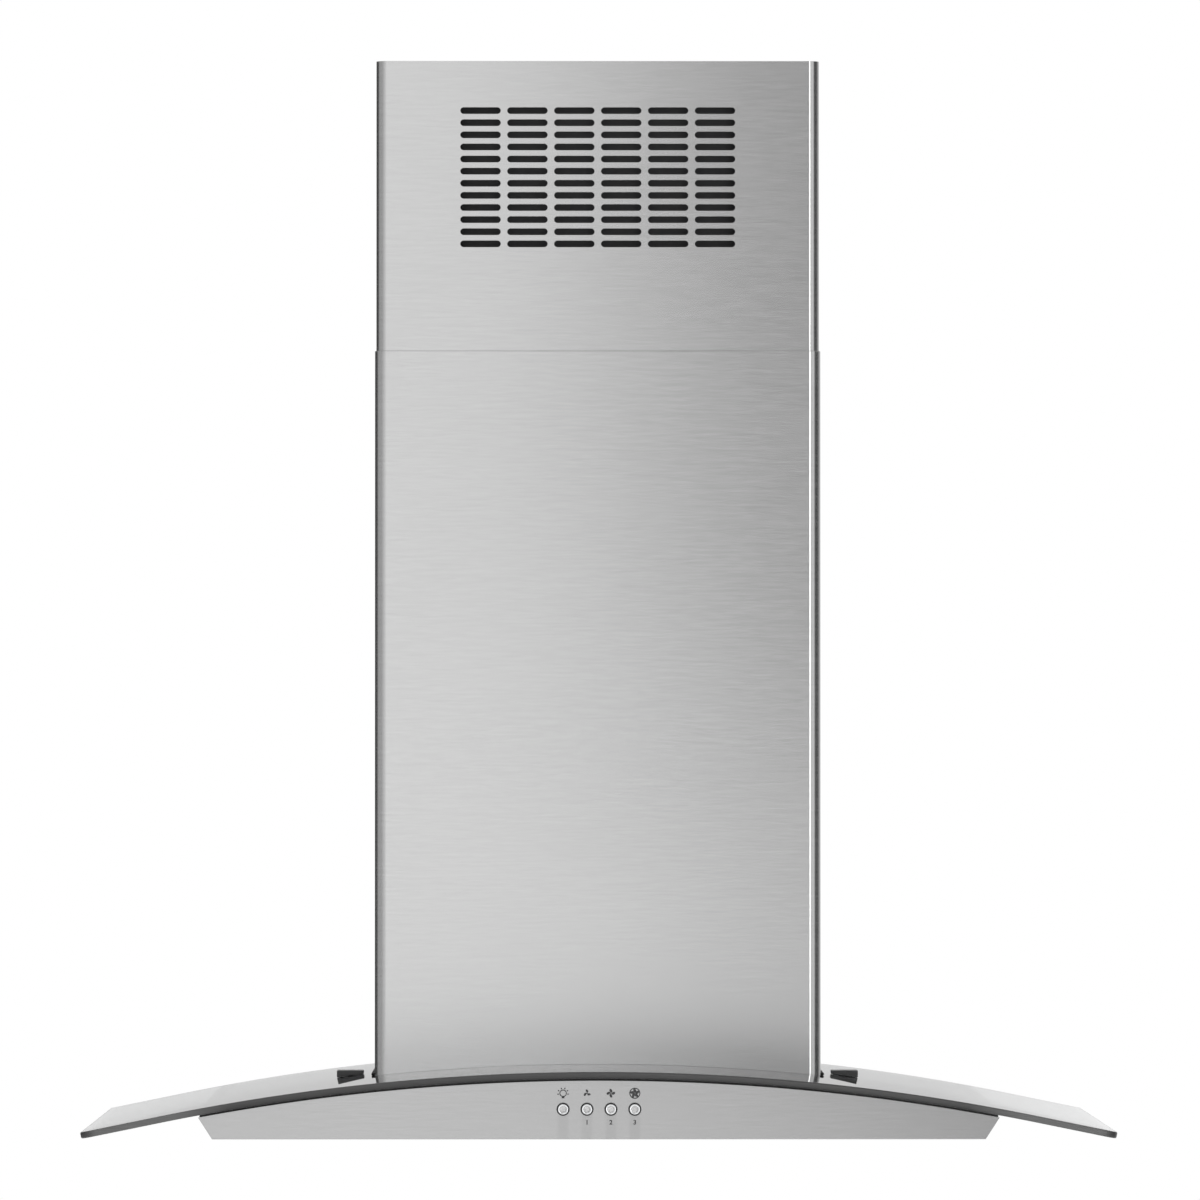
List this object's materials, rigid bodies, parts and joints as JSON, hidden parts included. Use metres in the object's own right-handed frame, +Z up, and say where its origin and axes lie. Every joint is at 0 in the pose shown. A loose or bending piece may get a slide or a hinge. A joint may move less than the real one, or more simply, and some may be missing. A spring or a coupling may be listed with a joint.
{
  "type": "range hood",
  "caption": "Wall-mounted range hood with a curved glass canopy, a slotted telescoping chimney, push buttons, hinged grease filters and a centrifugal fan.",
  "frame": {"origin": "on the wall, at the middle of the blower box's rear face, level with its hanging line; the hood's underside is 0.13 m below", "axes": "+X to the right seen from the front, +Y into the wall, +Z up"},
  "size_m": [0.76, 0.5, 0.8029],
  "materials": {
    "stainless": "horizontal brushed",
    "galvanised": "spangled zinc coat",
    "aluminium": "satin",
    "chrome": "polished",
    "canopy_glass": "clear toughened glass with ground edges",
    "black_rubber": "matt",
    "black_plastic": "fine grain",
    "grey_plastic": "fine grain",
    "dark_steel": "satin enamel",
    "lens": "frosted",
    "board": "solder mask"
  },
  "bodies": {
    "hood_body": {"glass_canopy": "canopy_glass", "glass_seal": "black_rubber", "top_deck": "stainless", "front_panel": "stainless", "side_panel_right": "stainless", "side_panel_left": "stainless", "rear_panel": "stainless", "underside_panel": "stainless", "glass_clamp_right": "black_plastic", "glass_clamp_left": "black_plastic", "clamp_screw_right": "dark_steel", "clamp_screw_left": "dark_steel", "switch_bank": "black_plastic", "control_tray": "grey_plastic", "control_lid": "grey_plastic", "control_board": "board", "lamp_housing_right": "aluminium", "lamp_housing_left": "aluminium", "lamp_lens_right": "lens", "lamp_lens_left": "lens", "blower_box": "galvanised", "blower_box_back": "galvanised", "blower_box_top": "galvanised", "wall_hook_right": "galvanised", "wall_hook_left": "galvanised", "volute_half_right": "black_plastic", "volute_half_left": "black_plastic", "fan_motor": "dark_steel", "motor_bracket": "galvanised", "run_capacitor": "grey_plastic", "exhaust_collar": "black_plastic", "damper_pin": "chrome", "lower_chimney_cover": "stainless", "chimney_foot_gasket": "black_rubber", "cover_bracket_right": "galvanised", "cover_bracket_left": "galvanised", "terminal_box": "galvanised", "terminal_box_lid": "galvanised", "cable_gland": "black_plastic", "light_bezel": "chrome", "fan_low_bezel": "chrome", "fan_medium_bezel": "chrome", "fan_high_bezel": "chrome"},
    "upper_chimney": {"upper_chimney_cover": "stainless", "slot_deflector": "black_plastic", "upper_wall_bracket": "galvanised"},
    "fan_rotor": {"impeller": "grey_plastic", "fan_shaft": "chrome"},
    "front_damper": {"damper_flap_front": "black_plastic"},
    "rear_damper": {"damper_flap_rear": "black_plastic"},
    "right_filter": {"filter_frame_right": "aluminium", "filter_mesh_right": "aluminium"},
    "left_filter": {"filter_frame_left": "aluminium", "filter_mesh_left": "aluminium"},
    "right_latch": {"filter_latch_right": "chrome"},
    "left_latch": {"filter_latch_left": "chrome"},
    "light_key": {"light_button": "chrome"},
    "fan_low_key": {"fan_low_button": "chrome"},
    "fan_medium_key": {"fan_medium_button": "chrome"},
    "fan_high_key": {"fan_high_button": "chrome"}
  },
  "joints": [
    {"name": "chimney_slide", "type": "slide", "parent": "hood_body", "child": "upper_chimney", "axis": [0, 0, 1], "range_m": [-0.215, 0.23]},
    {"name": "fan_spin", "type": "hinge", "parent": "hood_body", "child": "fan_rotor", "pos_m": [0, -0.105, 0.01], "axis": [1, 0, 0], "continuous": true},
    {"name": "front_damper_hinge", "type": "hinge", "parent": "hood_body", "child": "front_damper", "pos_m": [0, -0.159, 0.192], "axis": [-1, 0, 0], "range_deg": [0, 75]},
    {"name": "rear_damper_hinge", "type": "hinge", "parent": "hood_body", "child": "rear_damper", "pos_m": [0, -0.159, 0.192], "axis": [1, 0, 0], "range_deg": [0, 75]},
    {"name": "right_filter_hinge", "type": "hinge", "parent": "hood_body", "child": "right_filter", "pos_m": [0.1305, -0.11, -0.1285], "axis": [1, 0, 0], "range_deg": [0, 70]},
    {"name": "right_latch_slide", "type": "slide", "parent": "right_filter", "child": "right_latch", "axis": [0, 1, 0], "range_m": [0, 0.005], "stiffness_N_per_m": 400, "springref_m": -0.004},
    {"name": "left_filter_hinge", "type": "hinge", "parent": "hood_body", "child": "left_filter", "pos_m": [-0.1305, -0.11, -0.1285], "axis": [1, 0, 0], "range_deg": [0, 70]},
    {"name": "left_latch_slide", "type": "slide", "parent": "left_filter", "child": "left_latch", "axis": [0, 1, 0], "range_m": [0, 0.005], "stiffness_N_per_m": 400, "springref_m": -0.004},
    {"name": "light_press", "type": "slide", "parent": "hood_body", "child": "light_key", "axis": [0, 1, 0], "range_m": [0, 0.002], "stiffness_N_per_m": 500, "springref_m": -0.002},
    {"name": "fan_low_press", "type": "slide", "parent": "hood_body", "child": "fan_low_key", "axis": [0, 1, 0], "range_m": [0, 0.002], "stiffness_N_per_m": 500, "springref_m": -0.002},
    {"name": "fan_medium_press", "type": "slide", "parent": "hood_body", "child": "fan_medium_key", "axis": [0, 1, 0], "range_m": [0, 0.002], "stiffness_N_per_m": 500, "springref_m": -0.002},
    {"name": "fan_high_press", "type": "slide", "parent": "hood_body", "child": "fan_high_key", "axis": [0, 1, 0], "range_m": [0, 0.002], "stiffness_N_per_m": 500, "springref_m": -0.002}
  ]
}
